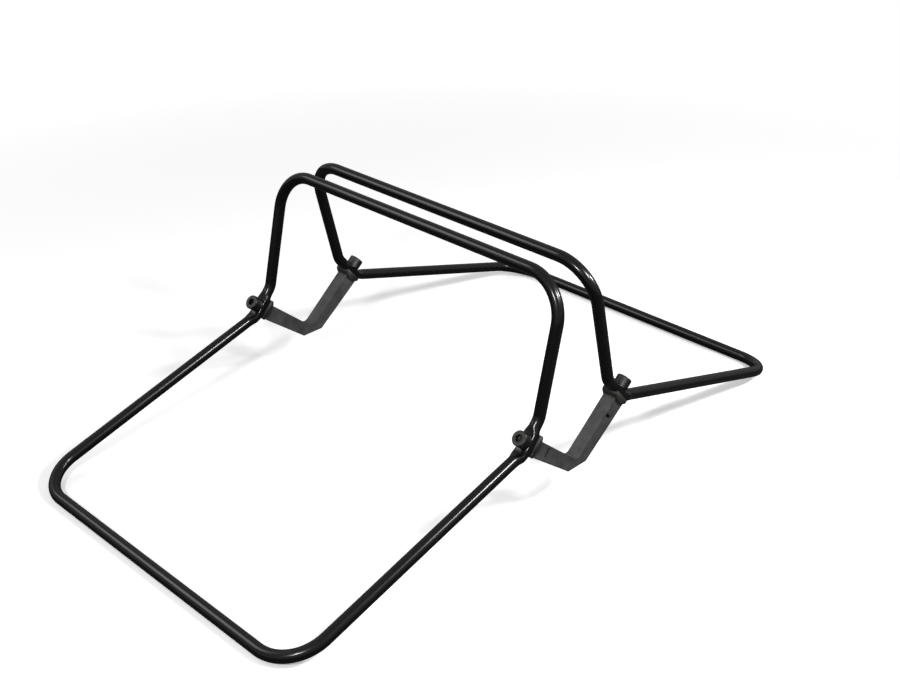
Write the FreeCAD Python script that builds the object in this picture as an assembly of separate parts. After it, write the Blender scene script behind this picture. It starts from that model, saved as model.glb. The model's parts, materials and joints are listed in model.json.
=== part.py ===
import FreeCAD, Part
import math
import os

# A floor rack that holds one wheel of a bicycle upright.
#
# Two round steel rods, each bent into one closed loop, stand mirror-like on either side of the
# wheel. A loop has a top bar and two posts beside the wheel, a knee, and then two legs and a foot
# bar that lie out along the floor. Two vee-shaped brackets join the loops, one at each end of the
# rack, and the tyre rests in their vees. At each knee the rod is pressed flat over a short seat.
# A clamp holds every seat to the end of a bracket arm: a saddle with a rounded back sits between
# the two, and one cap screw with a washer goes through the drilled seat and the saddle into a
# square nut in the arm.
#
# Millimetres. X runs along the way the wheel rolls, Y across the rack (near side -Y, far side +Y)
# and Z up. The origin is on the floor, at the middle of the rack.

Vector = FreeCAD.Vector
along_x = Vector(1, 0, 0)
along_y = Vector(0, 1, 0)
along_z = Vector(0, 0, 1)

# The two rod loops. Places along the rod are those of its centre line.
rod_diameter = 10.0
loop_width = 330.0
top_corner_radius = 35.0
foot_corner_radius = 35.0
top_bar_height = 205.0
top_bar_offset = 16.0
foot_reach = 295.0
# The lines of post and leg would cross at the knee; the seat cuts that corner off.
knee_height = 79.0
knee_offset = 46.0
seat_length = 30.3
seat_slope = 49.5
knee_bend_radius = 16.0
# How far down the seat from its middle the clamp sits.
clamp_shift = 5.2

# Where the rod is pressed flat; the flat reaches further down from the screw's axis than up,
# and spreads a little past the press
flat_thickness = 7.0
flat_width = 12.5
flat_reach_up = 9.0
flat_reach_down = 12.0
flat_corner_radius = 3.0
flat_edge_radius = 1.5
press_inset = 2.25
press_run_out = 6.0

# Clamp screws with a large head, washers and square nuts, of the five millimetre size
screw_diameter = 5.0
screw_length = 30.0
screw_head_diameter = 13.0
screw_head_height = 8.0
screw_head_chamfer = 0.6
screw_tip_chamfer = 0.8
socket_width = 6.0
socket_depth = 4.0
washer_diameter = 12.5
washer_thickness = 1.2
nut_width = 8.0
nut_thickness = 2.7

# Saddles; depths are measured inward along the screw from the rod's centre line
saddle_width = 15.0
saddle_length = 19.0
saddle_lip_depth = 2.4
saddle_back_depth = 8.6
saddle_back_radius = 15.0
saddle_corner_radius = 1.0
saddle_edge_radius = 0.5

# Vee brackets; an arm reaches further below the screw's axis than above it
bracket_width = 12.0
arm_above_screw = 5.7
arm_below_screw_at_clamp = 8.8
arm_below_screw_at_middle = 5.3
arm_end_depth = 5.4
arm_cup_radius = 17.0
vee_web = 6.0
vee_radius = 5.0
bracket_edge_radius = 0.8
nut_depth = 22.9
bore_past_screw = 1.5

# Fits and clearances, each on one side
rod_to_saddle_gap = 0.05
saddle_to_cup_gap = 0.05
head_to_washer_gap = 0.02
screw_hole_gap = 0.3
nut_thread_gap = 0.05
nut_pocket_gap = 0.1

# How far a cutter reaches past the face it opens, and how near two places count as one
cutter_overshoot = 1.0
tolerance = 0.001

rod_radius = rod_diameter / 2
screw_radius = screw_diameter / 2
screw_hole_radius = screw_radius + screw_hole_gap
clamp_x = loop_width / 2


def sloping(degrees):
    """Unit direction in the YZ plane, leading outward (+Y) and down by this many degrees."""
    angle = math.radians(degrees)
    return Vector(0, math.cos(angle), -math.sin(angle))


# Side view of the far loop, in the YZ plane
top = Vector(0, top_bar_offset, top_bar_height)
knee = Vector(0, knee_offset, knee_height)
foot = Vector(0, foot_reach, rod_radius)
seat_direction = sloping(seat_slope)
screw_direction = sloping(seat_slope - 90)
post_turn = (knee - top).getAngle(seat_direction)
leg_turn = (foot - knee).getAngle(seat_direction)
seat_scale = seat_length / math.sin(post_turn + leg_turn)
seat_top = knee + (top - knee).normalize() * (seat_scale * math.sin(leg_turn))
seat_end = knee + (foot - knee).normalize() * (seat_scale * math.sin(post_turn))
clamp = (seat_top + seat_end) * 0.5 + seat_direction * clamp_shift

# Heights of the clamp's faces along the screw, outward from the rod's centre line
flat_face = flat_thickness / 2
washer_face = flat_face + washer_thickness
head_seat = washer_face + head_to_washer_gap
head_face = head_seat + screw_head_height
screw_tip = head_seat - screw_length


def at_clamp(shape):
    """Stand a shape built about the screw (+Z outward, +Y down the seat) at the far right clamp."""
    turned = shape.copy()
    turned.Placement = FreeCAD.Placement(
        Vector(clamp_x, clamp.y, clamp.z),
        FreeCAD.Rotation(along_x, -seat_slope),
    )
    return turned


def mirror_to_near(shape):
    return shape.mirror(Vector(0, 0, 0), along_y)


def mirror_to_left(shape):
    return shape.mirror(Vector(0, 0, 0), along_x)


def cylinder_between(radius, low, high):
    """Cylinder about the screw's axis, from one height to another."""
    return Part.makeCylinder(radius, high - low, Vector(0, 0, low))


def cylinder_across(radius, bottom):
    """Cylinder along X, as wide as any clamp piece, whose underside is at this height."""
    reach = 2 * saddle_width
    return Part.makeCylinder(radius, reach, Vector(-reach / 2, 0, bottom + radius), along_x)


def box_about(width, length, low, high):
    """Box about the screw's axis: width along X, length along Y, between two heights."""
    return Part.makeBox(width, length, high - low, Vector(-width / 2, -length / 2, low))


def edges_along(shape, direction):
    """Straight edges of a shape that run this way."""
    found = []
    for edge in shape.Edges:
        if not isinstance(edge.Curve, Part.Line):
            continue
        if edge.Curve.Direction.cross(direction).Length < tolerance:
            found.append(edge)
    return found


def edges_at_height(shape, height):
    """Edges of a shape that lie in the level plane at this height."""
    found = []
    for edge in shape.Edges:
        box = edge.BoundBox
        if abs(box.ZMin - height) < tolerance and abs(box.ZMax - height) < tolerance:
            found.append(edge)
    return found


# ------------------------------------------------------------------------------- rod loops

def corner_bend(before, corner, after, radius):
    """Where a bend of this radius starts and ends, with its centre, axis and angle."""
    inward = (corner - before).normalize()
    outward = (after - corner).normalize()
    turn = inward.getAngle(outward)
    set_back = radius * math.tan(turn / 2)
    axis = inward.cross(outward).normalize()
    start = corner - inward * set_back
    end = corner + outward * set_back
    centre = start + axis.cross(inward) * radius
    return start, end, centre, axis, math.degrees(turn)


def bent_bar(radius, corners, bend_radii):
    """Round bar of this radius along a closed run of corners, each bent to its own radius."""
    count = len(corners)
    bends = []
    for i in range(count):
        bends.append(corner_bend(corners[i - 1], corners[i], corners[(i + 1) % count], bend_radii[i]))
    pieces = []
    for i in range(count):
        start, end, centre, axis, angle = bends[i]
        inward = (corners[i] - corners[i - 1]).normalize()
        section = Part.Face(Part.Wire(Part.makeCircle(radius, start, inward)))
        pieces.append(section.revolve(centre, axis, angle))
        next_start = bends[(i + 1) % count][0]
        run = next_start - end
        pieces.append(Part.makeCylinder(radius, run.Length, end, run))
    return pieces[0].multiFuse(pieces[1:]).removeSplitter()


def pressed_away(gap):
    """What the press takes off one side of the rod, above the flat, with sloping ends."""
    up = press_inset + gap - flat_reach_up
    down = flat_reach_down - press_inset - gap
    corners = [
        Vector(-rod_diameter, up, flat_face + gap),
        Vector(-rod_diameter, down, flat_face + gap),
        Vector(-rod_diameter, down + press_run_out, rod_diameter),
        Vector(-rod_diameter, up - press_run_out, rod_diameter),
    ]
    outline = Part.makePolygon(corners + corners[:1])
    return Part.Face(outline).extrude(along_x * (2 * rod_diameter))


def flat_pad(gap):
    """The flat itself, a little wider than the rod, with rounded corners and edges."""
    low = -flat_face - gap
    high = flat_face + gap
    width = flat_width + 2 * gap
    length = flat_reach_up + flat_reach_down + 2 * gap
    pad = Part.makeBox(width, length, high - low, Vector(-width / 2, -flat_reach_up - gap, low))
    pad = pad.makeFillet(flat_corner_radius, edges_along(pad, along_z))
    rims = edges_at_height(pad, low) + edges_at_height(pad, high)
    return pad.makeFillet(flat_edge_radius, rims)


def far_loop_bar(gap):
    """The far loop's rod, grown all round by a gap; the saddles' grooves are cut with it."""
    side_view = [top, seat_top, seat_end, foot]
    side_radii = [top_corner_radius, knee_bend_radius, knee_bend_radius, foot_corner_radius]
    right = [point + along_x * clamp_x for point in side_view]
    left = [point - along_x * clamp_x for point in reversed(side_view)]
    bar = bent_bar(rod_radius + gap, right + left, side_radii + side_radii[::-1])
    outside = pressed_away(gap)
    inside = outside.mirror(Vector(0, 0, 0), along_z)
    for side in (outside, inside):
        bar = bar.cut([at_clamp(side), mirror_to_left(at_clamp(side))])
    pad = at_clamp(flat_pad(gap))
    return bar.multiFuse([pad, mirror_to_left(pad)]).removeSplitter()


def make_far_loop():
    """One loop of rod, drilled through both seats for the clamp screws."""
    hole = at_clamp(cylinder_between(screw_hole_radius, -rod_diameter, rod_diameter))
    return far_loop_bar(0).cut([hole, mirror_to_left(hole)])


# ------------------------------------------------------------------------------- clamp pieces

def make_saddle():
    """Grooved block between the flat of the rod and the cup in the end of a bracket arm."""
    block = box_about(saddle_width, saddle_length, -saddle_back_depth, -saddle_lip_depth)
    block = block.makeFillet(saddle_corner_radius, edges_along(block, along_z))
    block = block.common(cylinder_across(saddle_back_radius, -saddle_back_depth))
    block = block.makeFillet(saddle_edge_radius, edges_at_height(block, -saddle_lip_depth))
    block = block.cut(cylinder_between(screw_hole_radius, -saddle_back_depth - cutter_overshoot, 0))
    return at_clamp(block).cut(far_loop_bar(rod_to_saddle_gap))


def make_screw():
    """Socket head cap screw; its head stands over the washer."""
    head = cylinder_between(screw_head_diameter / 2, head_seat, head_face)
    head = head.makeChamfer(screw_head_chamfer, edges_at_height(head, head_face))
    shank = cylinder_between(screw_radius, screw_tip, head_seat)
    shank = shank.makeChamfer(screw_tip_chamfer, edges_at_height(shank, screw_tip))
    socket_radius = socket_width / 2 / math.cos(math.pi / 6)
    corners = []
    for i in range(7):
        angle = i * math.pi / 3
        corner = Vector(socket_radius * math.cos(angle), socket_radius * math.sin(angle), head_face)
        corners.append(corner)
    socket = Part.Face(Part.makePolygon(corners)).extrude(along_z * -socket_depth)
    return at_clamp(head.fuse(shank).removeSplitter().cut(socket))


def make_washer():
    washer = cylinder_between(washer_diameter / 2, flat_face, washer_face)
    hole = cylinder_between(screw_hole_radius, 0, washer_face + cutter_overshoot)
    return at_clamp(washer.cut(hole))


def make_nut():
    """Square nut, pulled up against the outward wall of its pocket."""
    outer_face = nut_thickness / 2 + nut_pocket_gap - nut_depth
    inner_face = outer_face - nut_thickness
    nut = box_about(nut_width, nut_width, inner_face, outer_face)
    thread_radius = screw_radius + nut_thread_gap
    thread = cylinder_between(thread_radius, inner_face - cutter_overshoot, outer_face + cutter_overshoot)
    return at_clamp(nut.cut(thread))


# ------------------------------------------------------------------------------- brackets

def bracket_outline():
    """Corners of the far half of a bracket in the YZ plane, from the vee to the underside."""
    arm_slope = math.radians(90 - seat_slope)
    axis_height = clamp.z - clamp.y * math.tan(arm_slope)
    vee = Vector(0, 0, axis_height + arm_above_screw / math.cos(arm_slope))
    arm_end = clamp - screw_direction * arm_end_depth
    upper_corner = arm_end - seat_direction * arm_above_screw
    lower_corner = arm_end + seat_direction * arm_below_screw_at_clamp
    lower_middle = Vector(0, 0, axis_height - arm_below_screw_at_middle / math.cos(arm_slope))
    # The underside is level, and starts where that height meets the sloping lower face of the arm.
    underside_height = vee.z - vee_web
    share = (underside_height - lower_middle.z) / (lower_corner.z - lower_middle.z)
    underside_corner = lower_middle + (lower_corner - lower_middle) * share
    return vee, upper_corner, lower_corner, underside_corner


def nut_pocket():
    """Slot for the nut, open on the outer side face of the bracket."""
    inner_x = -(nut_width / 2 + nut_pocket_gap)
    width = nut_width + 2 * nut_pocket_gap
    thickness = nut_thickness + 2 * nut_pocket_gap
    corner = Vector(inner_x, -width / 2, -nut_depth - thickness / 2)
    outer_x = bracket_width / 2 + cutter_overshoot
    return Part.makeBox(outer_x - inner_x, width, thickness, corner)


def make_right_bracket():
    """Vee bracket with a cupped end, a screw bore and a nut pocket in each arm."""
    vee, upper_corner, lower_corner, underside_corner = bracket_outline()
    far_side = [upper_corner, lower_corner, underside_corner]
    near_side = [Vector(0, -point.y, point.z) for point in reversed(far_side)]
    outline = Part.makePolygon([vee] + far_side + near_side + [vee])
    outline.translate(along_x * (clamp_x - bracket_width / 2))
    bracket = Part.Face(outline).extrude(along_x * bracket_width)
    vee_edges = []
    for edge in edges_along(bracket, along_x):
        if abs(edge.BoundBox.ZMin - vee.z) < tolerance and abs(edge.BoundBox.YMin) < tolerance:
            vee_edges.append(edge)
    bracket = bracket.makeFillet(vee_radius, vee_edges)
    side_face_edges = []
    for edge in bracket.Edges:
        if edge.BoundBox.XLength < tolerance:
            side_face_edges.append(edge)
    bracket = bracket.makeFillet(bracket_edge_radius, side_face_edges)
    cup = cylinder_across(arm_cup_radius, -saddle_back_depth - saddle_to_cup_gap)
    bore = cylinder_between(screw_hole_radius, screw_tip - bore_past_screw, 0)
    for cutter in (cup, bore, nut_pocket()):
        far = at_clamp(cutter)
        bracket = bracket.cut([far, mirror_to_near(far)])
    return bracket


# ------------------------------------------------------------------------------- assembly

nodes = {}
nodes["far_rod_loop"] = make_far_loop()
nodes["near_rod_loop"] = mirror_to_near(nodes["far_rod_loop"])
nodes["right_bracket"] = make_right_bracket()
nodes["left_bracket"] = mirror_to_left(nodes["right_bracket"])

clamp_pieces = {
    "saddle": make_saddle(),
    "clamp_screw": make_screw(),
    "washer": make_washer(),
    "square_nut": make_nut(),
}
for name, far_right in clamp_pieces.items():
    nodes["far_right_" + name] = far_right
    nodes["far_left_" + name] = mirror_to_left(far_right)
    nodes["near_right_" + name] = mirror_to_near(far_right)
    nodes["near_left_" + name] = mirror_to_near(mirror_to_left(far_right))

os.makedirs("parts", exist_ok=True)
for name, shape in nodes.items():
    print(name, "solids", len(shape.Solids), "valid", shape.isValid(), "volume", round(shape.Volume, 1))
    shape.exportStep("parts/" + name + ".step")
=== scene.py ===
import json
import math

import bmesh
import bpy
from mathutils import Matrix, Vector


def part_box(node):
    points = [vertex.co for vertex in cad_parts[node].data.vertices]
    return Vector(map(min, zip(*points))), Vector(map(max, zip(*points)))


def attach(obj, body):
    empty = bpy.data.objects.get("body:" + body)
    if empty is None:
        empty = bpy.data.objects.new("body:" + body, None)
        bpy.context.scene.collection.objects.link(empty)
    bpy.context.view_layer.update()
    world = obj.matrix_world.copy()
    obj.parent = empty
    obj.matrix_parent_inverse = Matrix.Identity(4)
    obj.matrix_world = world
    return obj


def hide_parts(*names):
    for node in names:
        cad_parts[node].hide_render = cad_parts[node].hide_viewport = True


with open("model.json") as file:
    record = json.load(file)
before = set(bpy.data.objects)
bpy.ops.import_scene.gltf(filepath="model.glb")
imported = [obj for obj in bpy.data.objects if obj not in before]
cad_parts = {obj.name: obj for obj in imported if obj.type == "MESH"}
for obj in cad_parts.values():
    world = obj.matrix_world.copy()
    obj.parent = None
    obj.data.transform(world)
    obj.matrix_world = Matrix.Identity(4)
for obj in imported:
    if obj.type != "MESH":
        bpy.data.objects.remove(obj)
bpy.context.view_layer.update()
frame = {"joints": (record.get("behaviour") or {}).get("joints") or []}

# %% [markdown]
# # A floor rack of bent rod
#
# The rack is two loops of round steel rod that stand mirror-like on either side of a slot. Two
# vee brackets tie the loops together, and at each of the four corners one cap screw clamps a
# flattened stretch of the rod, its seat, against a saddle and the end of a bracket arm.
#
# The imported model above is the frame: it fixes where everything is and how big. This lesson builds
# finer pieces over it, with rounded edges, thread grooves at the right pitch and finishes that
# catch the light as the real ones do. Everything is in metres, with Z up.

mm = 0.001

# %% [markdown]
# ## Where things are
#
# Most places can be read off the frame, which is safer than writing them down twice. The four
# clamp screws are joints, so each joint record holds a point on a screw's axis and the direction
# in which the screw points outward. The far loop's box gives the height of the top bar and the
# reach of the foot bar. Only a few sizes that no box shows are written here in millimetres.

# %% Places from the frame
rod_radius = 5.0 * mm
knee = Vector((0, 46.0, 79.0)) * mm
flat_thickness = 7.0 * mm
washer_thickness = 1.2 * mm
head_to_washer_gap = 0.02 * mm

joints = {joint["name"]: joint for joint in frame["joints"]}
far_joint = joints["far_right_screw_turn"]
screw_direction = Vector(far_joint["axis"]).normalized()
washer_face = flat_thickness / 2 + washer_thickness
head_seat = washer_face + head_to_washer_gap
clamp = Vector(far_joint["pos_m"]) - screw_direction * head_seat
seat_direction = Vector((1, 0, 0)).cross(screw_direction) * -1

loop_low, loop_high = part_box("far_rod_loop")
top = Vector((0, loop_low.y + rod_radius, loop_high.z - rod_radius))
foot = Vector((0, loop_high.y - rod_radius, rod_radius))
print("clamp", clamp, "seat direction", seat_direction)
print("top bar", top, "foot bar", foot)

# %% [markdown]
# ## Three small helpers
#
# A bmesh is a mesh being edited in memory. The first helper turns one into an object, the second
# bakes an object's modifiers into its mesh, and the third does a boolean cut and throws the cutter
# away. A piece is always finished with its object at the origin, so that its place is in its mesh.

# %% Helpers for pieces
sharp_edge_angle = math.radians(35)
merge_distance = 0.001 * mm
print("edges sharper than", round(math.degrees(sharp_edge_angle)), "degrees stay hard")


def finish_object(name, bm):
    """Make an object of this bmesh, smooth across soft edges and sharp across hard ones."""
    mesh = bpy.data.meshes.new(name)
    bmesh.ops.recalc_face_normals(bm, faces=bm.faces[:])
    bm.to_mesh(mesh)
    bm.free()
    mesh.shade_smooth()
    mesh.set_sharp_from_angle(angle=sharp_edge_angle)
    piece = bpy.data.objects.new(name, mesh)
    bpy.context.scene.collection.objects.link(piece)
    return piece


def apply_modifiers(piece):
    """Bake a piece's modifiers into its mesh."""
    graph = bpy.context.evaluated_depsgraph_get()
    baked = bpy.data.meshes.new_from_object(piece.evaluated_get(graph))
    piece.modifiers.clear()
    piece.data = baked
    baked.name = piece.name
    return piece


def cut_with(piece, cutter, operation="DIFFERENCE"):
    """Boolean of a piece and a cutter; the cutter is removed."""
    boolean = piece.modifiers.new("cut", "BOOLEAN")
    boolean.object = cutter
    boolean.operation = operation
    boolean.solver = "EXACT"
    bpy.context.view_layer.update()
    apply_modifiers(piece)
    bpy.data.objects.remove(cutter)
    return piece


# %% [markdown]
# ## The clamp's own axes
#
# All four clamps are alike, so their pieces are modelled once, standing on the screw's axis: Z
# points outward along the screw, Y down the seat and X along the rack. A matrix then stands a copy
# at each corner. The two near corners are the far ones turned half way round the rack, not
# mirrored, because a mirror would turn each mesh inside out, and a real screw's thread left-handed.

# %% Matrices for the four clamps
def clamp_matrix(side, end):
    """Stand a piece from the screw's axes at a corner: side is far or near, end right or left."""
    axes = Matrix((Vector((1, 0, 0)), seat_direction, screw_direction)).transposed().to_4x4()
    turn = Matrix.Identity(4) if side == "far" else Matrix.Rotation(math.pi, 4, "Z")
    x = clamp.x if (side == "far") == (end == "right") else -clamp.x
    return turn @ Matrix.Translation(Vector((x, clamp.y, clamp.z))) @ axes


corners = [(side, end) for side in ("far", "near") for end in ("right", "left")]
for side, end in corners:
    spot = clamp_matrix(side, end).translation
    print(side, end, [round(value / mm, 2) for value in spot], "mm")

# %% [markdown]
# ## Finishes
#
# Every material begins with what the real thing is and how its surface was made. Colours are
# written as sRGB hex, the way a paint chart gives them, and one function turns them linear. The
# patterns read Object coordinates, which are metres, so a noise scale of 1 / (2 mm) makes spots
# about 2 mm across.

# %% Node and colour helpers
def linear(hex_colour):
    """Turn an sRGB hex colour into the linear RGBA that the shader wants."""
    values = []
    for i in (1, 3, 5):
        share = int(hex_colour[i:i + 2], 16) / 255
        values.append(share / 12.92 if share <= 0.04045 else ((share + 0.055) / 1.055) ** 2.4)
    return (*values, 1.0)


def add_node(tree, kind, settings=None, inputs=None):
    """Add a node with its settings; an input given as a socket is linked, any other is a value."""
    node = tree.nodes.new(kind)
    for name, value in (settings or {}).items():
        setattr(node, name, value)
    for name, value in (inputs or {}).items():
        if isinstance(value, bpy.types.NodeSocket):
            tree.links.new(value, node.inputs[name])
        else:
            node.inputs[name].default_value = value
    return node


def new_material(name):
    """An empty node material with its output, and the Object coordinates that patterns read."""
    material = bpy.data.materials.new(name)
    material.use_nodes = True
    tree = material.node_tree
    tree.nodes.clear()
    output = add_node(tree, "ShaderNodeOutputMaterial")
    place = add_node(tree, "ShaderNodeTexCoord").outputs["Object"]
    return material, tree, output, place


print("mid grey #808080 is", round(linear("#808080")[0], 4), "in linear light")

# %% [markdown]
# ### Black powder coat on the rods
#
# The rods are mild steel wire, bent, then sprayed with black polyester powder and baked. The film
# flows as it melts, which leaves a gloss with a very fine orange peel: sharp white glints at the
# bends, and a soft grey streak along the straights. The peel is about 1.5 mm from hill to hill and
# only microns deep. The film is a little duller where it pulled thin, so the roughness drifts.

# %% Black powder coat
peel_size = 1.5 * mm
film_drift_size = 45 * mm


def black_powder_coat():
    """Gloss black with a fine orange peel and a slow drift of roughness."""
    material, tree, output, place = new_material("black_powder_coat")
    peel = add_node(
        tree, "ShaderNodeTexNoise", inputs={"Vector": place, "Scale": 1 / peel_size, "Detail": 2.0},
    )
    drift = add_node(
        tree, "ShaderNodeTexNoise",
        inputs={"Vector": place, "Scale": 1 / film_drift_size, "Detail": 3.0},
    )
    rough = add_node(
        tree, "ShaderNodeMapRange",
        inputs={"Value": drift.outputs["Fac"], "To Min": 0.18, "To Max": 0.26},
    )
    tint = add_node(
        tree, "ShaderNodeMix", {"data_type": "RGBA"},
        {"Factor": drift.outputs["Fac"], "A": linear("#080808"), "B": linear("#0e0d0c")},
    )
    bump = add_node(
        tree, "ShaderNodeBump",
        inputs={"Height": peel.outputs["Fac"], "Strength": 0.15, "Distance": 0.02 * mm},
    )
    shader = add_node(
        tree, "ShaderNodeBsdfPrincipled",
        inputs={
            "Base Color": tint.outputs["Result"],
            "Roughness": rough.outputs["Result"],
            "IOR": 1.5,
            "Normal": bump.outputs["Normal"],
        },
    )
    tree.links.new(shader.outputs["BSDF"], output.inputs["Surface"])
    return material


powder_coat = black_powder_coat()
print("made", powder_coat.name, "with a peel of", round(peel_size / mm, 2), "mm")

# %% [markdown]
# ### Glass-filled nylon for brackets and saddles
#
# The brackets and saddles are taken to be injection moulded from black nylon with chopped glass.
# Such a mould is spark eroded, so the skin has a fine matte grain, and the glass near the surface
# lifts the black to a charcoal grey. The grain here is 0.5 mm across, drawn coarser than a real
# one, so that it still shows from a step away.

# %% Glass-filled nylon
grain_size = 0.5 * mm
flow_mark_size = 9 * mm
grain_share = 0.35


def glass_filled_nylon(name, dark, light):
    """Matte moulded nylon, whose colour goes between two greys with the grain and the flow."""
    material, tree, output, place = new_material(name)
    grain = add_node(
        tree, "ShaderNodeTexNoise", inputs={"Vector": place, "Scale": 1 / grain_size, "Detail": 3.0},
    )
    flow = add_node(
        tree, "ShaderNodeTexNoise",
        inputs={"Vector": place, "Scale": 1 / flow_mark_size, "Detail": 4.0},
    )
    mix = add_node(
        tree, "ShaderNodeMath", {"operation": "MULTIPLY_ADD"},
        {0: grain.outputs["Fac"], 1: grain_share, 2: flow.outputs["Fac"]},
    )
    share = add_node(
        tree, "ShaderNodeMapRange",
        inputs={"Value": mix.outputs[0], "From Min": 0.45, "From Max": 0.9},
    )
    tint = add_node(
        tree, "ShaderNodeMix", {"data_type": "RGBA"},
        {"Factor": share.outputs["Result"], "A": linear(dark), "B": linear(light)},
    )
    rough = add_node(
        tree, "ShaderNodeMapRange",
        inputs={"Value": grain.outputs["Fac"], "To Min": 0.48, "To Max": 0.66},
    )
    bump = add_node(
        tree, "ShaderNodeBump",
        inputs={"Height": grain.outputs["Fac"], "Strength": 0.5, "Distance": 0.05 * mm},
    )
    shader = add_node(
        tree, "ShaderNodeBsdfPrincipled",
        inputs={
            "Base Color": tint.outputs["Result"],
            "Roughness": rough.outputs["Result"],
            "IOR": 1.53,
            "Normal": bump.outputs["Normal"],
        },
    )
    tree.links.new(shader.outputs["BSDF"], output.inputs["Surface"])
    return material


bracket_nylon = glass_filled_nylon("glass_filled_nylon", "#303031", "#4a4a4b")
# The saddles get a darker copy of the nylon. In part that is their own tone, and in part it is painted
# shade: the shade of the crevice they sit in, under the screw head, between the rod's flat and the arm's
# end.
saddle_nylon_with_painted_shade = glass_filled_nylon("glass_filled_nylon_dark_with_painted_shade", "#222221", "#32312f")
print("made", bracket_nylon.name, "and", saddle_nylon_with_painted_shade.name)

# %% [markdown]
# ### Black oxide steel for screws, washers and nuts
#
# Socket screws are forged from alloy steel and blackened in a hot salt bath. The oxide is a thin
# dark skin over metal, so the shader is metallic with a dark colour and a satin roughness, and it
# is a touch uneven where the bath left it, in spots of a millimetre or so.

# %% Black oxide steel
bath_spot_size = 1.2 * mm


def black_oxide_steel():
    """Dark satin metal, a little uneven in tone and roughness."""
    material, tree, output, place = new_material("black_oxide_steel")
    spots = add_node(
        tree, "ShaderNodeTexNoise",
        inputs={"Vector": place, "Scale": 1 / bath_spot_size, "Detail": 4.0},
    )
    tint = add_node(
        tree, "ShaderNodeMix", {"data_type": "RGBA"},
        {"Factor": spots.outputs["Fac"], "A": linear("#3a3a3b"), "B": linear("#575654")},
    )
    rough = add_node(
        tree, "ShaderNodeMapRange",
        inputs={"Value": spots.outputs["Fac"], "To Min": 0.32, "To Max": 0.5},
    )
    bump = add_node(
        tree, "ShaderNodeBump",
        inputs={"Height": spots.outputs["Fac"], "Strength": 0.3, "Distance": 0.02 * mm},
    )
    shader = add_node(
        tree, "ShaderNodeBsdfPrincipled",
        inputs={
            "Base Color": tint.outputs["Result"],
            "Metallic": 1.0,
            "Roughness": rough.outputs["Result"],
            "Normal": bump.outputs["Normal"],
        },
    )
    tree.links.new(shader.outputs["BSDF"], output.inputs["Surface"])
    return material


oxide_steel = black_oxide_steel()
print("made", oxide_steel.name, "with spots of", round(bath_spot_size / mm, 2), "mm")

# %% [markdown]
# ## Bending the rod
#
# A rod loop could be a curve with a round bevel, but a curve can't be pressed flat at its seats.
# So the mesh is made as a wire bender makes the part: a disc of rod is fed forward for each
# straight, which is an extrude, and swung round a pin for each bend, which is a spin. Only half a
# loop is bent, from the middle of the top bar to the middle of the foot bar. The other half is its
# mirror.

# %% The bender's path
top_corner_radius = 35.0 * mm
foot_corner_radius = 35.0 * mm
knee_bend_radius = 16.0 * mm


def meet_seat(start, end):
    """Where the line from start to end, in the side view, crosses the line of the seat."""
    run = end - start
    distance = (clamp - start).dot(screw_direction) / run.dot(screw_direction)
    return start + run * distance


side_clamp = Vector((0, clamp.y, clamp.z))
clamp_x = clamp.x
seat_top = meet_seat(top, knee)
seat_end = meet_seat(knee, foot)
print("seat from", seat_top, "to", seat_end, "length", round((seat_end - seat_top).length / mm, 2), "mm")

across = Vector((clamp_x, 0, 0))
half_path = [top, top + across, seat_top + across, seat_end + across, foot + across, foot]
half_bends = [top_corner_radius, knee_bend_radius, knee_bend_radius, foot_corner_radius]


# %% [markdown]
# ### Feeding and swinging
#
# A wire bender has two moves. It feeds the rod forward, and it swings the rod round a pin. Here
# the moves work on the last ring of the tube. The straights that a press will shape are fed in
# short steps, because only points that are there can be pressed. The others need very few.

# %% Feeding and swinging
ring_sides = 64
bend_step = math.radians(3)
short_feed = 1.5 * mm
long_feed = 20 * mm


def feed(bm, ring, run, step):
    """Extrude the last ring of rod along a straight run, in steps no longer than step."""
    count = max(1, math.ceil(run.length / step))
    for _ in range(count):
        edges = [part for part in ring if isinstance(part, bmesh.types.BMEdge)]
        made = bmesh.ops.extrude_edge_only(bm, edges=edges)["geom"]
        verts = [part for part in made if isinstance(part, bmesh.types.BMVert)]
        bmesh.ops.translate(bm, verts=verts, vec=run / count)
        ends = set(verts)
        ring = verts + [p for p in made if isinstance(p, bmesh.types.BMEdge) and set(p.verts) <= ends]
    return ring


def swing(bm, ring, centre, axis, angle):
    """Spin the last ring of rod round the pin of the bender."""
    steps = max(2, math.ceil(angle / bend_step))
    made = bmesh.ops.spin(bm, geom=ring, cent=centre, axis=axis, angle=angle, steps=steps)
    return made["geom_last"]


print("a right angle takes", math.ceil(math.pi / 2 / bend_step), "steps of bending")

# %% [markdown]
# ### Half a loop, bend by bend
#
# Each bend starts a little before its corner, by the radius times the tangent of half the angle,
# as on a bender's setting sheet. The tube's two ends stay open, because the mirror joins them.

# %% Bending half a loop
runs_to_press = (2, 3, 4)


def bend_half_loop():
    """Half of the far loop as an open tube, from the top bar's middle to the foot bar's."""
    bm = bmesh.new()
    face_x = Matrix.Translation(half_path[0]) @ Matrix.Rotation(math.pi / 2, 4, "Y")
    made = bmesh.ops.create_circle(bm, segments=ring_sides, radius=rod_radius, matrix=face_x)
    ring = made["verts"] + bm.edges[:]
    place = half_path[0]
    for i, radius in enumerate(half_bends, start=1):
        inward = (half_path[i] - half_path[i - 1]).normalized()
        outward = (half_path[i + 1] - half_path[i]).normalized()
        angle = inward.angle(outward)
        set_back = radius * math.tan(angle / 2)
        axis = inward.cross(outward).normalized()
        start = half_path[i] - inward * set_back
        step = short_feed if i in runs_to_press else long_feed
        ring = feed(bm, ring, start - place, step)
        centre = start + axis.cross(inward) * radius
        ring = swing(bm, ring, centre, axis, angle)
        place = half_path[i] + outward * set_back
    feed(bm, ring, half_path[-1] - place, long_feed)
    return bm


print("half a loop has", len(half_path) - 1, "straights and", len(half_bends), "bends")

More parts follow.
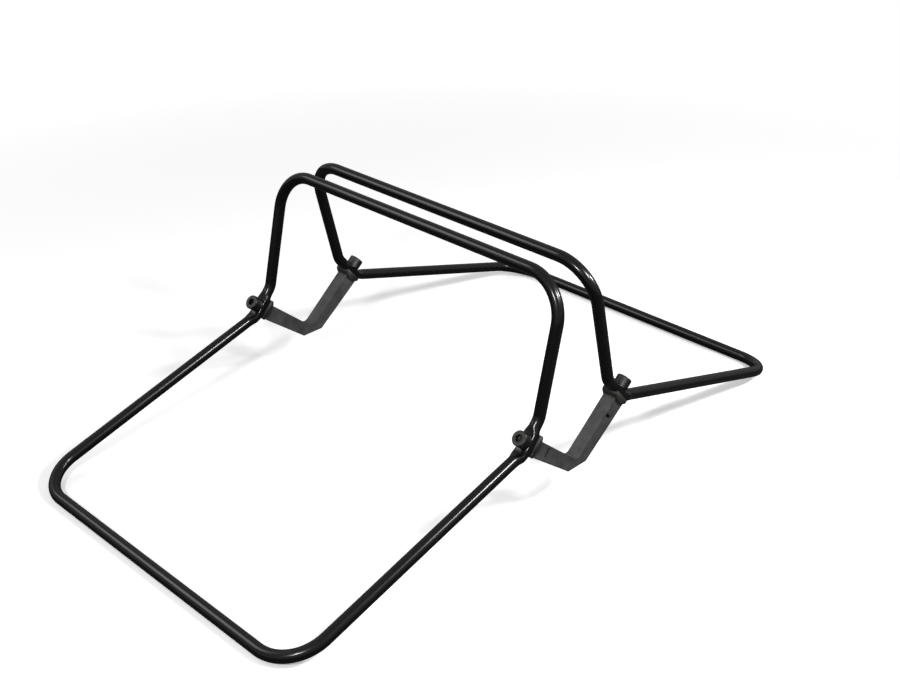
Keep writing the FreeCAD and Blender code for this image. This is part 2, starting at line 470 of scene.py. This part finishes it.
# %% [markdown]
# ## Pressing the seats
#
# At each knee the rod is taken to go into a press, which squeezes the round section to a flat
# one, 7 mm thick and 12.5 mm wide. A boolean would leave hard steps. Steel flows instead, so here every
# point of the tube near the clamp moves from the circle to a rounded oblong, a superellipse, and
# the share of that move fades out smoothly along the rod. The flat runs round the lower bend and
# ends on the leg, so a point's place is told along the rod: on the seat, in the bend or past it.

# %% Places along the pressed rod
lower_turn = (foot - seat_end).angle(seat_direction)
bend_start = (seat_end - side_clamp).dot(seat_direction) - knee_bend_radius * math.tan(lower_turn / 2)
bend_end = bend_start + knee_bend_radius * lower_turn
bend_centre = side_clamp + seat_direction * bend_start + screw_direction * knee_bend_radius
leg_direction = (foot - seat_end).normalized()
leg_outward = Vector((1, 0, 0)).cross(leg_direction)
leg_start = bend_centre - leg_outward * knee_bend_radius
print("lower bend from", round(bend_start / mm, 2), "to", round(bend_end / mm, 2), "mm below the screw")


def place_on_rod(point):
    """Distance down the rod from the screw, distance out from its middle, and the way out."""
    side = Vector((0, point.y, point.z))
    offset = side - side_clamp
    down = offset.dot(seat_direction)
    if down < bend_start:
        return down, offset.dot(screw_direction), screw_direction
    spoke = side - bend_centre
    angle = math.atan2(spoke.dot(seat_direction), -spoke.dot(screw_direction))
    if angle < lower_turn:
        return bend_start + knee_bend_radius * angle, knee_bend_radius - spoke.length, -spoke.normalized()
    past = side - leg_start
    return bend_end + past.dot(leg_direction), past.dot(leg_outward), leg_outward


# %% [markdown]
# ### The press
#
# The flat reaches further down from the screw than up, as the facet on the photographed rack
# does. A superellipse with an exponent of 4.5 has flat sides and well rounded corners.

# %% The press
flat_width = 12.5 * mm
flat_reach_up = 6.8 * mm
flat_reach_down = 12.5 * mm
flat_fade_length = 7.0 * mm
press_reach = 30.0 * mm
squareness = 4.5
print("the flat is", round((flat_reach_up + flat_reach_down) / mm, 2), "mm long at full depth")


def fade(down):
    """1 on the flat, 0 on the round rod, and a smooth step between."""
    past = down - flat_reach_down if down > 0 else -down - flat_reach_up
    share = min(max(past / flat_fade_length, 0.0), 1.0)
    return 1 - share * share * (3 - 2 * share)


def press_seat(bm):
    """Move the tube's points near the clamp from the round section to the flat one."""
    power = 2 / squareness
    for vert in bm.verts:
        if (vert.co - clamp).length > press_reach:
            continue
        down, out, outward = place_on_rod(vert.co)
        aside = vert.co.x - clamp.x
        reach = math.hypot(aside, out)
        cosine, sine = aside / reach, out / reach
        wide = math.copysign(abs(cosine) ** power, cosine) * flat_width / 2
        high = math.copysign(abs(sine) ** power, sine) * flat_thickness / 2
        share = fade(down)
        vert.co.x += (wide - aside) * share
        vert.co += outward * ((high - out) * share)


def pressed_half_loop():
    """Half of the far loop with its seat pressed flat."""
    bm = bend_half_loop()
    press_seat(bm)
    return bm


# %% [markdown]
# ### Two whole loops
#
# Half a loop becomes a whole one by its mirror, and then both seats are drilled for the screws.
# The near loop is the far one turned half way round.

# %% Both rod loops
screw_hole_radius = 2.8 * mm
drill_sides = 48


def rod_drill(end):
    """A drill through the seat of the far loop at one end."""
    bm = bmesh.new()
    bmesh.ops.create_cone(
        bm, cap_ends=True, segments=drill_sides, radius1=screw_hole_radius, radius2=screw_hole_radius,
        depth=4 * rod_radius, matrix=clamp_matrix("far", end),
    )
    return finish_object("rod_drill", bm)


def make_far_loop():
    """The far loop, whole and drilled."""
    bm = pressed_half_loop()
    whole = bm.verts[:] + bm.edges[:] + bm.faces[:]
    bmesh.ops.mirror(bm, geom=whole, axis="X", merge_dist=merge_distance)
    bmesh.ops.remove_doubles(bm, verts=bm.verts[:], dist=merge_distance)
    loop = finish_object("far_loop_of_bent_rod", bm)
    for end in ("right", "left"):
        cut_with(loop, rod_drill(end))
    return loop


def turned_copy(piece, name):
    """A copy of a piece turned half way round the rack."""
    mesh = piece.data.copy()
    mesh.transform(Matrix.Rotation(math.pi, 4, "Z"))
    mesh.name = name
    copy = bpy.data.objects.new(name, mesh)
    bpy.context.scene.collection.objects.link(copy)
    return copy


far_loop = make_far_loop()
near_loop = turned_copy(far_loop, "near_loop_of_bent_rod")
for loop, node in ((far_loop, "far_rod_loop"), (near_loop, "near_rod_loop")):
    loop.data.materials.clear()
    loop.data.materials.append(powder_coat)
    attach(loop, "stand")
    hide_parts(node)
print("far loop has", len(far_loop.data.polygons), "faces")

# %% [markdown]
# ## The saddle
#
# A saddle keeps the flat of the rod from turning on the screw. Its outer face has a groove for the
# rod and two low lips, and its back is round, so that it beds in the hollow end of the bracket
# arm. It starts as a block, is trimmed by a fat cylinder for the back, and is grooved with the
# rod itself, grown by a whisker, so that it fits wherever the rod swells.

# %% The cutters for saddle and bracket
saddle_width = 15.0 * mm
saddle_length = 19.0 * mm
saddle_lip_depth = 2.4 * mm
saddle_back_depth = 8.6 * mm
saddle_back_radius = 15.0 * mm
roller_sides = 160
print("a saddle is", [round(size / mm, 1) for size in (saddle_width, saddle_length)], "mm")


def block(name, low, high):
    """A box between two corners."""
    bm = bmesh.new()
    bmesh.ops.create_cube(bm, size=1.0)
    size = high - low
    bmesh.ops.scale(bm, verts=bm.verts[:], vec=size)
    bmesh.ops.translate(bm, verts=bm.verts[:], vec=(low + high) / 2)
    return finish_object(name, bm)


def roller(name, radius, bottom):
    """A fat cylinder along X with its underside at this height, to cut round backs and cups."""
    bm = bmesh.new()
    place = Matrix.Translation((0, 0, bottom + radius)) @ Matrix.Rotation(math.pi / 2, 4, "Y")
    bmesh.ops.create_cone(
        bm, cap_ends=True, segments=roller_sides, radius1=radius, radius2=radius,
        depth=3 * saddle_width, matrix=place,
    )
    return finish_object(name, bm)


def drill(name, radius, low, high):
    """A drill along the screw's axis."""
    bm = bmesh.new()
    place = Matrix.Translation((0, 0, (low + high) / 2))
    bmesh.ops.create_cone(
        bm, cap_ends=True, segments=drill_sides, radius1=radius, radius2=radius,
        depth=high - low, matrix=place,
    )
    return finish_object(name, bm)


# %% [markdown]
# ### The groove and the saddle itself
#
# The block is softened before the groove and the hole are cut. After them the groove's edges are
# so dense that a bevel would fold faces over each other there. Booleans also leave a few specks,
# faces too small to see, and these are merged away at the end.

# %% Making a saddle
groove_gap = 0.05 * mm
saddle_edge_radius = 0.5 * mm
speck = 0.003 * mm
print("groove grown by", round(groove_gap / mm, 3), "mm, specks under", round(speck / mm, 3), "mm go")


def grown_rod():
    """The far loop in the clamp's own axes, a whisker thicker, to cut the saddle's groove."""
    bm = pressed_half_loop()
    bmesh.ops.holes_fill(bm, edges=[edge for edge in bm.edges if edge.is_boundary])
    bmesh.ops.recalc_face_normals(bm, faces=bm.faces[:])
    bm.normal_update()
    for vert in bm.verts:
        vert.co += vert.normal * groove_gap
    bm.transform(clamp_matrix("far", "right").inverted())
    return finish_object("grown_rod", bm)


def soften(piece, width, segments=3, angle=40):
    """Round every edge sharper than this angle, and bake it."""
    bevel = piece.modifiers.new("soften", "BEVEL")
    bevel.width = width
    bevel.segments = segments
    bevel.limit_method = "ANGLE"
    bevel.angle_limit = math.radians(angle)
    bpy.context.view_layer.update()
    return apply_modifiers(piece)


def merge_specks(piece):
    """Merge points and drop faces that a cut left too small to see."""
    bm = bmesh.new()
    bm.from_mesh(piece.data)
    bmesh.ops.remove_doubles(bm, verts=bm.verts[:], dist=speck)
    bmesh.ops.dissolve_degenerate(bm, edges=bm.edges[:], dist=speck)
    bm.to_mesh(piece.data)
    bm.free()
    return piece


def make_saddle():
    """A block with a round back, a groove for the rod and a hole for the screw."""
    half = Vector((saddle_width / 2, saddle_length / 2, 0))
    low = -half - Vector((0, 0, saddle_back_depth))
    high = half - Vector((0, 0, saddle_lip_depth))
    saddle = block("saddle", low, high)
    cut_with(saddle, roller("back", saddle_back_radius, -saddle_back_depth), "INTERSECT")
    soften(saddle, saddle_edge_radius)
    cut_with(saddle, grown_rod())
    cut_with(saddle, drill("hole", screw_hole_radius, -2 * saddle_back_depth, 0))
    return merge_specks(saddle)


# %% [markdown]
# ## Turned parts
#
# Screws and washers are made as on a lathe: a half profile is drawn beside the axis and spun a
# full turn. A primitive cylinder has no profile to draw, and a spin takes any.

# %% A lathe
def spin_profile(name, points, segments=96):
    """Spin a half profile of (radius, height) points, which starts and ends on the axis or closes."""
    bm = bmesh.new()
    verts = [bm.verts.new((radius, 0, height)) for radius, height in points]
    edges = [bm.edges.new(pair) for pair in zip(verts, verts[1:])]
    if points[0][0] > 0:
        edges.append(bm.edges.new((verts[-1], verts[0])))
    bmesh.ops.spin(
        bm, geom=verts + edges, cent=(0, 0, 0), axis=(0, 0, 1), angle=2 * math.pi,
        steps=segments, use_merge=True,
    )
    bmesh.ops.remove_doubles(bm, verts=bm.verts[:], dist=merge_distance)
    return finish_object(name, bm)


print("turned parts are spun round Z, the screw's axis")

# %% [markdown]
# ### The cap screw
#
# The shank is taken to be 5 mm with grooves 0.8 mm apart. They are rings and not a helix, which
# looks the same at this size and keeps the mesh closed. The head is knurled so that fingers can
# start it. The socket is a hexagon 6 mm across flats, broached after turning, so it is a cut.

# %% The cap screw's profile
screw_radius = 2.5 * mm
screw_length = 30.0 * mm
head_radius = 6.5 * mm
head_height = 8.0 * mm
socket_across = 6.0 * mm
socket_depth = 4.0 * mm
thread_pitch = 0.8 * mm
thread_depth = 0.45 * mm
thread_length = 16.0 * mm
groove_wall = 0.42
crest_end = 0.55
tip_chamfer = 0.5 * mm
thread_run_out = 1.2 * mm
lower_rim = 0.3 * mm
knurl_start = 0.9 * mm
knurl_end = 1.1 * mm
print("screw", round(screw_length / mm, 1), "mm long, head", round(2 * head_radius / mm, 1), "mm")


def screw_profile():
    """Half profile of the screw, from the tip on its axis to the top of its head."""
    tip = head_seat - screw_length
    points = [(0, tip), (screw_radius - thread_depth, tip)]
    for i in range(int(thread_length / thread_pitch)):
        base = tip + tip_chamfer + i * thread_pitch
        points.append((screw_radius - thread_depth, base))
        points.append((screw_radius, base + groove_wall * thread_pitch))
        points.append((screw_radius, base + crest_end * thread_pitch))
    points.append((screw_radius - thread_depth / 2, tip + tip_chamfer + thread_length))
    points.append((screw_radius, tip + thread_length + thread_run_out))
    points.append((screw_radius, head_seat))
    face = head_seat + head_height
    points += [
        (head_radius - lower_rim, head_seat),
        (head_radius, head_seat + lower_rim),
        (head_radius, head_seat + knurl_start),
        (head_radius, face - knurl_end),
        # The upper rim is rolled over in three short facets.
        (head_radius - 0.06 * mm, face - 0.5 * mm),
        (head_radius - 0.24 * mm, face - 0.18 * mm),
        (head_radius - 0.55 * mm, face),
        (0, face),
    ]
    return points


# %% [markdown]
# ### Broaching and knurling
#
# A knurl is rolled into the wall of the head by pushing steel in. Here every other edge of the
# wall is moved inward, so the ribs need no faces of their own. The broach is a hexagon with a
# point, as the bottom of a broached socket has. It is spun too, in only six steps.

# %% Broach, knurl and the finished screw
knurl_ribs = 60
knurl_depth = 0.12 * mm
knurl_margin = 0.1 * mm
broach_point = 0.9 * mm
head_sharp_angle = math.radians(28)
print("the head has", knurl_ribs, "ribs,", round(knurl_depth / mm, 2), "mm deep")


def socket_broach():
    """A hexagonal broach with a pointed end: a half profile spun in only six steps."""
    radius = socket_across / 2 / math.cos(math.pi / 6)
    bottom = head_seat + head_height - socket_depth
    above = head_seat + head_height + mm
    profile = [(0, bottom - broach_point), (radius, bottom), (radius, above), (0, above)]
    return spin_profile("broach", profile, segments=6)


def knurl(screw):
    """Push every other edge of the head's wall in, which leaves straight ribs."""
    low = head_seat + knurl_start - knurl_margin
    high = head_seat + head_height - knurl_end + knurl_margin
    for vert in screw.data.vertices:
        if not low < vert.co.z < high or vert.co.xy.length < head_radius - knurl_margin / 2:
            continue
        turn = math.atan2(vert.co.y, vert.co.x) / (2 * math.pi) * knurl_ribs
        if round(turn * 2) % 2:
            vert.co.xy *= 1 - knurl_depth / head_radius


def make_screw():
    """The turned, knurled and broached screw."""
    screw = spin_profile("clamp_screw", screw_profile(), segments=2 * knurl_ribs)
    knurl(screw)
    cut_with(screw, socket_broach())
    merge_specks(screw)
    screw.data.shade_smooth()
    screw.data.set_sharp_from_angle(angle=head_sharp_angle)
    return screw


# %% [markdown]
# ### The washer and the square nut
#
# A washer is stamped from strip, so the punch rolls one rim round and leaves the other nearly
# sharp. A square nut is cut from flat bar and drilled. It sits in a slot and can't turn there, so
# no spanner is needed. Both are spun or cut here in the same way.

# %% The washer and the square nut
washer_radius = 6.25 * mm
nut_width = 8.0 * mm
nut_thickness = 2.7 * mm
nut_depth = 22.9 * mm
nut_pocket_gap = 0.1 * mm
nut_bore_radius = 2.55 * mm
nut_edge_radius = 0.25 * mm
print("washer", round(2 * washer_radius / mm, 2), "mm, nut", round(nut_width / mm, 2), "mm square")


def make_washer():
    """A stamped washer: its upper rim is rolled round by the punch, its lower rim is nearly sharp."""
    low, high = flat_thickness / 2, washer_face
    roll, nick, facet = 0.45 * mm, 0.12 * mm, 0.13 * mm
    profile = [
        (screw_hole_radius, low), (washer_radius - nick, low), (washer_radius, low + nick),
        (washer_radius, high - roll), (washer_radius - facet, high - facet),
        (washer_radius - roll, high), (screw_hole_radius, high),
    ]
    return spin_profile("washer", profile)


def make_nut():
    """A square nut, pulled up against the outward wall of its pocket."""
    face = nut_thickness / 2 + nut_pocket_gap - nut_depth
    half = Vector((nut_width / 2, nut_width / 2, 0))
    low = -half + Vector((0, 0, face - nut_thickness))
    nut = block("square_nut", low, half + Vector((0, 0, face)))
    cut_with(nut, drill("thread", nut_bore_radius, face - 2 * nut_thickness, face + nut_thickness))
    return soften(nut, nut_edge_radius)


# %% [markdown]
# ## The vee bracket
#
# The bracket is one moulding: two arms that rise from a flat underside, a vee between them, and a
# hollow at each arm's end for the saddle. Its side view is drawn as a face and extruded. The vee's
# corner is bevelled first, on its own, with a large radius. Then come the cuts: the cups, the bores
# for the screws and the slots for the nuts, which open outward. Last, every outer edge is rounded a
# little, as in any moulding.

# %% The bracket's side view
bracket_width = 12.0 * mm
arm_above_screw = 5.7 * mm
arm_below_screw_at_clamp = 8.8 * mm
arm_below_screw_at_middle = 5.3 * mm
arm_end_depth = 5.4 * mm
arm_slope = math.atan2(screw_direction.z, screw_direction.y)
vee_web = 6.0 * mm
print("the arms rise at", round(math.degrees(arm_slope), 1), "degrees")


def bracket_corners():
    """The far half of the bracket's side view, from the vee to the underside."""
    axis_height = clamp.z - clamp.y * math.tan(arm_slope)
    vee = Vector((0, 0, axis_height + arm_above_screw / math.cos(arm_slope)))
    arm_end = side_clamp - screw_direction * arm_end_depth
    upper = arm_end - seat_direction * arm_above_screw
    lower = arm_end + seat_direction * arm_below_screw_at_clamp
    middle = Vector((0, 0, axis_height - arm_below_screw_at_middle / math.cos(arm_slope)))
    share = (vee.z - vee_web - middle.z) / (lower.z - middle.z)
    return vee, upper, lower, middle + (lower - middle) * share


# %% [markdown]
# ### Cutting and rounding the bracket
#
# Each arm is cut in its clamp's own axes: the cutter is made standing on the screw's axis and
# then moved by the same matrix as the screw. So the cup, the bore and the slot line up with the
# pieces that go in them.

# %% Making a bracket
arm_cup_radius = 17.0 * mm
saddle_to_cup_gap = 0.05 * mm
vee_radius = 5.0 * mm
vee_steps = 12
same_place = 0.01 * mm
bore_past_screw = 1.5 * mm
bracket_edge_radius = 0.6 * mm


def nut_slot(side):
    """The slot for the nut, open on the outer side face of the right bracket."""
    inner = -(nut_width / 2 + nut_pocket_gap)
    wide = nut_width / 2 + nut_pocket_gap
    thick = nut_thickness / 2 + nut_pocket_gap
    outer = bracket_width
    if side == "near":
        inner, outer = -outer, -inner
    low = Vector((inner, -wide, -nut_depth - thick))
    slot = block("nut_slot", low, Vector((outer, wide, -nut_depth + thick)))
    slot.data.transform(clamp_matrix(side, "right"))
    return slot


def make_right_bracket():
    """The whole bracket: extruded side view, bevelled vee, cups, bores, slots and soft edges."""
    vee, upper, lower, under = bracket_corners()
    far_side = [upper, lower, under]
    near_side = [Vector((0, -point.y, point.z)) for point in reversed(far_side)]
    bm = bmesh.new()
    inner_face = Vector((clamp_x - bracket_width / 2, 0, 0))
    verts = [bm.verts.new(point + inner_face) for point in [vee] + far_side + near_side]
    outline = [bm.edges.new(pair) for pair in zip(verts, verts[1:] + verts[:1])]
    bmesh.ops.contextual_create(bm, geom=outline)
    made = bmesh.ops.extrude_face_region(bm, geom=bm.faces[:])
    moved = [g for g in made["geom"] if isinstance(g, bmesh.types.BMVert)]
    bmesh.ops.translate(bm, verts=moved, vec=(bracket_width, 0, 0))
    vee_edge = []
    for edge in bm.edges:
        offsets = [(vert.co.y, vert.co.z - vee.z) for vert in edge.verts]
        if all(abs(y) < same_place and abs(z) < same_place for y, z in offsets):
            vee_edge.append(edge)
    offset = vee_radius * math.tan(arm_slope)
    bmesh.ops.bevel(
        bm, geom=vee_edge, offset=offset, segments=vee_steps, profile=0.5, affect="EDGES",
        offset_type="OFFSET", material=-1,
    )
    bracket = finish_object("right_vee_bracket", bm)
    tip = head_seat - screw_length
    for side in ("far", "near"):
        cup = roller("cup", arm_cup_radius, -saddle_back_depth - saddle_to_cup_gap)
        bore = drill("bore", screw_hole_radius, tip - bore_past_screw, 0)
        for cutter in (cup, bore):
            cutter.data.transform(clamp_matrix(side, "right"))
            cut_with(bracket, cutter)
        cut_with(bracket, nut_slot(side))
    merge_specks(bracket)
    return merge_specks(soften(bracket, bracket_edge_radius))


right_bracket = make_right_bracket()
left_bracket = turned_copy(right_bracket, "left_vee_bracket")
for bracket, node in ((right_bracket, "right_bracket"), (left_bracket, "left_bracket")):
    bracket.data.materials.clear()
    bracket.data.materials.append(bracket_nylon)
    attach(bracket, "stand")
    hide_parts(node)
print("bracket has", len(right_bracket.data.polygons), "faces")

# %% [markdown]
# ## Standing the clamp pieces at the four corners
#
# One saddle, screw, washer and nut are made, and a copy of each mesh is moved to every corner. The
# saddles and nuts stay with the stand. Each screw and each washer hangs from an empty of its own,
# named for its corner's screw or washer body.

# %% Standing the clamp pieces at the four corners
clamp_pieces = [
    (make_saddle(), "saddle", saddle_nylon_with_painted_shade, "saddle", "stand"),
    (make_screw(), "clamp_screw", oxide_steel, "screw", "screw_body"),
    (make_washer(), "washer", oxide_steel, "screw", "washer_body"),
    (make_nut(), "square_nut", oxide_steel, "nut", "stand"),
]
for pattern, node, material, slot, body in clamp_pieces:
    pattern.data.materials.clear()
    pattern.data.materials.append(material)
    for side, end in corners:
        corner = side + "_" + end + "_"
        mesh = pattern.data.copy()
        mesh.transform(clamp_matrix(side, end))
        piece = bpy.data.objects.new("fine_" + corner + node, mesh)
        bpy.context.scene.collection.objects.link(piece)
        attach(piece, body if body == "stand" else corner + body)
        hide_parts(corner + node)
    print(node, "has", len(pattern.data.polygons), "faces")
    bpy.data.objects.remove(pattern)

# %% [markdown]
# ## The floor
#
# The rack stands on a plain pale floor that keeps its shadow. Only the camera sees the floor pale.
# Every other ray finds it a darker grey, so that the undersides and the reflections in the black
# rods stay dark, as they are in the photograph. Away from the rack the floor fades to plain white,
# so that in place of a horizon there is only a faint change of tone.

# %% The floor
floor_lift = 0.3
floor_fade_start = 0.5
floor_fade_end = 1.0
floor_half_size = 6.0


def pale_floor():
    """Pale and slightly glowing to the camera, grey to all other rays, white further out."""
    material, tree, output, place = new_material("pale_floor_paint")
    rays = add_node(tree, "ShaderNodeLightPath")
    seen = rays.outputs["Is Camera Ray"]
    tint = add_node(
        tree, "ShaderNodeMix", {"data_type": "RGBA"},
        {"Factor": seen, "A": linear("#444444"), "B": linear("#f4f4f4")},
    )
    paint = add_node(tree, "ShaderNodeBsdfDiffuse", inputs={"Color": tint.outputs["Result"]})
    lift = add_node(tree, "ShaderNodeMath", {"operation": "MULTIPLY"}, {0: seen, 1: floor_lift})
    glow = add_node(tree, "ShaderNodeEmission", inputs={"Strength": lift.outputs[0]})
    near = add_node(
        tree, "ShaderNodeAddShader", inputs={0: paint.outputs["BSDF"], 1: glow.outputs["Emission"]},
    )
    distance = add_node(tree, "ShaderNodeVectorMath", {"operation": "LENGTH"}, {0: place})
    fade_out = add_node(
        tree, "ShaderNodeMapRange",
        inputs={
            "Value": distance.outputs["Value"],
            "From Min": floor_fade_start,
            "From Max": floor_fade_end,
        },
    )
    share = add_node(
        tree, "ShaderNodeMath", {"operation": "MULTIPLY"}, {0: fade_out.outputs["Result"], 1: seen},
    )
    far = add_node(tree, "ShaderNodeEmission", inputs={"Strength": 1.0})
    blend = add_node(
        tree, "ShaderNodeMixShader",
        inputs={0: share.outputs[0], 1: near.outputs["Shader"], 2: far.outputs["Emission"]},
    )
    tree.links.new(blend.outputs["Shader"], output.inputs["Surface"])
    return material


bm = bmesh.new()
bmesh.ops.create_grid(bm, x_segments=1, y_segments=1, size=floor_half_size)
floor = finish_object("studio_floor", bm)
floor.data.materials.append(pale_floor())
print("the floor is", 2 * floor_half_size, "m wide")

# %% [markdown]
# ## The world and the lamps
#
# The world is white to the camera. To every other ray, reflections among them, it is much weaker,
# because white reflections would turn the black rods grey. Four lamps do the rest. A wide soft one
# at the left makes the streak along the bars, and three small ones, at the right, behind it and in
# front, make the glints at the bends.

# %% The world and the lamps
world_strength = 0.3
camera_strength = 1.0
soft_lamp_size = (0.7, 0.7)
small_lamp_size = (0.12, 0.12)
clamp_height_aim = (0, 0, 0.08)


def white_world():
    """White to the camera, weaker to all other rays."""
    world = bpy.data.worlds.new("studio")
    bpy.context.scene.world = world
    world.use_nodes = True
    tree = world.node_tree
    tree.nodes.clear()
    rays = add_node(tree, "ShaderNodeLightPath")
    strength = add_node(
        tree, "ShaderNodeMapRange",
        inputs={
            "Value": rays.outputs["Is Camera Ray"],
            "To Min": world_strength,
            "To Max": camera_strength,
        },
    )
    sky = add_node(
        tree, "ShaderNodeBackground",
        inputs={"Color": (1, 1, 1, 1), "Strength": strength.outputs["Result"]},
    )
    output = add_node(tree, "ShaderNodeOutputWorld")
    tree.links.new(sky.outputs["Background"], output.inputs["Surface"])


def soft_lamp(name, place, aim, size, watts):
    """A rectangular area lamp at a place, turned to face a point."""
    lamp = bpy.data.lights.new(name, "AREA")
    lamp.shape = "RECTANGLE"
    lamp.size, lamp.size_y = size
    lamp.energy = watts
    lamp_object = bpy.data.objects.new(name, lamp)
    bpy.context.scene.collection.objects.link(lamp_object)
    lamp_object.location = place
    lamp_object.rotation_euler = (Vector(aim) - Vector(place)).to_track_quat("-Z", "Y").to_euler()


white_world()
soft_lamp("left_soft_lamp", (-1.0, -0.75, 1.1), (0, -0.15, 0.1), soft_lamp_size, 4.2)
soft_lamp("right_lamp", (0.77, 0.13, 0.79), clamp_height_aim, small_lamp_size, 5)
soft_lamp("back_right_lamp", (0.80, 0.72, 0.73), clamp_height_aim, small_lamp_size, 7)
soft_lamp("front_lamp", (0.50, -1.07, 0.92), clamp_height_aim, small_lamp_size, 7)
print("lamps", len(bpy.data.lights))

# %% [markdown]
# ## The camera
#
# The camera's place, aim and lens come from fitting a pinhole camera to the photograph, so the view
# has its height, angle and perspective. The lens follows from the focal length in pixels: the
# sensor's width stands for the image's width.

# %% The camera
focal_pixels = 1351.5
image_width = 900
sensor_width = 36.0
camera_place = Vector((743.5, -712.6, 644.6)) * mm
camera_azimuth = math.radians(45.16)
camera_elevation = math.radians(28.62)
camera_roll = math.radians(-0.45)
far_clip = 50


def photo_camera():
    """The camera of the photograph, turned by its azimuth, elevation and roll."""
    back = Vector((
        math.sin(camera_azimuth) * math.cos(camera_elevation),
        -math.cos(camera_azimuth) * math.cos(camera_elevation),
        math.sin(camera_elevation),
    ))
    right = Vector((math.cos(camera_azimuth), math.sin(camera_azimuth), 0))
    upward = back.cross(right)
    level = Matrix((right, upward, back)).transposed()
    rolled = level @ Matrix.Rotation(camera_roll, 3, "Z")
    data = bpy.data.cameras.new("photo_camera")
    data.sensor_width = sensor_width
    data.lens = focal_pixels / image_width * sensor_width
    data.clip_end = far_clip
    camera = bpy.data.objects.new("photo_camera", data)
    bpy.context.scene.collection.objects.link(camera)
    camera.matrix_world = Matrix.Translation(camera_place) @ rolled.to_4x4()
    bpy.context.scene.camera = camera


photo_camera()
bpy.context.scene.view_settings.view_transform = "Standard"
print("camera lens", round(bpy.context.scene.camera.data.lens, 2), "mm")
